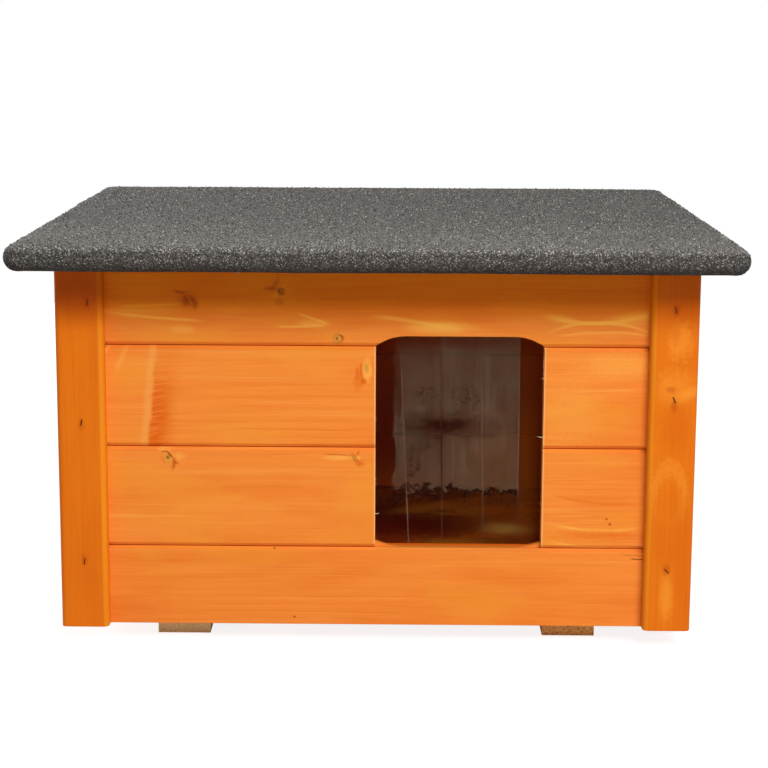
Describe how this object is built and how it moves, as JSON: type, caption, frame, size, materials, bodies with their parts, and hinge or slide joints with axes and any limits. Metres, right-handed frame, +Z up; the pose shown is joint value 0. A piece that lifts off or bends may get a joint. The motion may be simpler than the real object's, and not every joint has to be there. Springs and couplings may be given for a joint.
{
  "type": "outdoor cat house",
  "caption": "Low boarded pine cat house on skids, with a felted roof that lifts on back hinges and an off-centre doorway closed by a clear slit curtain.",
  "frame": {"origin": "on the ground, under the middle of the roof's outline", "axes": "+X to the right seen from the front, +Y to the back, +Z up"},
  "size_m": [0.619, 0.5638, 0.3655],
  "materials": {
    "stained_pine": "orange stain with a satin sheen over pine grain",
    "raw_pine": "untreated sawn pine",
    "mineral_felt": "dark grey bitumen felt with mineral granules, matt",
    "clear_pvc": "clear flexible sheet, glossy",
    "zinc_steel": "zinc-plated steel"
  },
  "bodies": {
    "house": {"front_board_1": "stained_pine", "front_board_2_left": "stained_pine", "front_board_2_right": "stained_pine", "front_board_3_left": "stained_pine", "front_board_3_right": "stained_pine", "front_board_4": "stained_pine", "left_board_1": "stained_pine", "left_board_2": "stained_pine", "left_board_3": "stained_pine", "left_board_4": "stained_pine", "right_board_1": "stained_pine", "right_board_2": "stained_pine", "right_board_3": "stained_pine", "right_board_4": "stained_pine", "back_board_1": "stained_pine", "back_board_2": "stained_pine", "back_board_3": "stained_pine", "back_board_4": "stained_pine", "front_trim_left": "stained_pine", "front_trim_right": "stained_pine", "back_trim_left": "stained_pine", "back_trim_right": "stained_pine", "side_trim_front_left": "stained_pine", "side_trim_front_right": "stained_pine", "side_trim_back_left": "stained_pine", "side_trim_back_right": "stained_pine", "hinge_rail": "stained_pine", "floor_panel": "stained_pine", "skid_left": "raw_pine", "skid_right": "raw_pine", "post_front_left": "raw_pine", "post_front_right": "raw_pine", "post_back_left": "raw_pine", "post_back_right": "raw_pine", "door_batten_left": "raw_pine", "door_batten_right": "raw_pine", "clamp_batten": "raw_pine", "floor_screws": "zinc_steel", "trim_staples": "zinc_steel", "clamp_screws": "zinc_steel", "hinge_wall_leaves": "zinc_steel", "hinge_wall_screws": "zinc_steel", "hinge_pins": "zinc_steel", "curtain_header": "clear_pvc"},
    "roof": {"roof_deck": "raw_pine", "roof_cleat_left": "raw_pine", "roof_cleat_right": "raw_pine", "roof_felt": "mineral_felt", "hinge_roof_leaves": "zinc_steel", "hinge_roof_screws": "zinc_steel", "felt_nails": "zinc_steel", "cleat_screws": "zinc_steel"},
    "strip_1": {"curtain_strip_1": "clear_pvc"},
    "strip_2": {"curtain_strip_2": "clear_pvc"},
    "strip_3": {"curtain_strip_3": "clear_pvc"},
    "strip_4": {"curtain_strip_4": "clear_pvc"},
    "strip_5": {"curtain_strip_5": "clear_pvc"}
  },
  "joints": [
    {"name": "roof_lift", "type": "hinge", "parent": "house", "child": "roof", "pos_m": [0, 0.2533, 0.33085], "axis": [-1, 0, 0], "range_deg": [0, 95]},
    {"name": "strip_1_bend", "type": "hinge", "parent": "house", "child": "strip_1", "pos_m": [0.00546, -0.1906, 0.282], "axis": [1, 0, 0], "range_deg": [0, 80]},
    {"name": "strip_2_bend", "type": "hinge", "parent": "house", "child": "strip_2", "pos_m": [0.03998, -0.1906, 0.282], "axis": [1, 0, 0], "range_deg": [0, 80]},
    {"name": "strip_3_bend", "type": "hinge", "parent": "house", "child": "strip_3", "pos_m": [0.0745, -0.1906, 0.282], "axis": [1, 0, 0], "range_deg": [0, 80]},
    {"name": "strip_4_bend", "type": "hinge", "parent": "house", "child": "strip_4", "pos_m": [0.10902, -0.1906, 0.282], "axis": [1, 0, 0], "range_deg": [0, 80]},
    {"name": "strip_5_bend", "type": "hinge", "parent": "house", "child": "strip_5", "pos_m": [0.14354, -0.1906, 0.282], "axis": [1, 0, 0], "range_deg": [0, 80]}
  ]
}
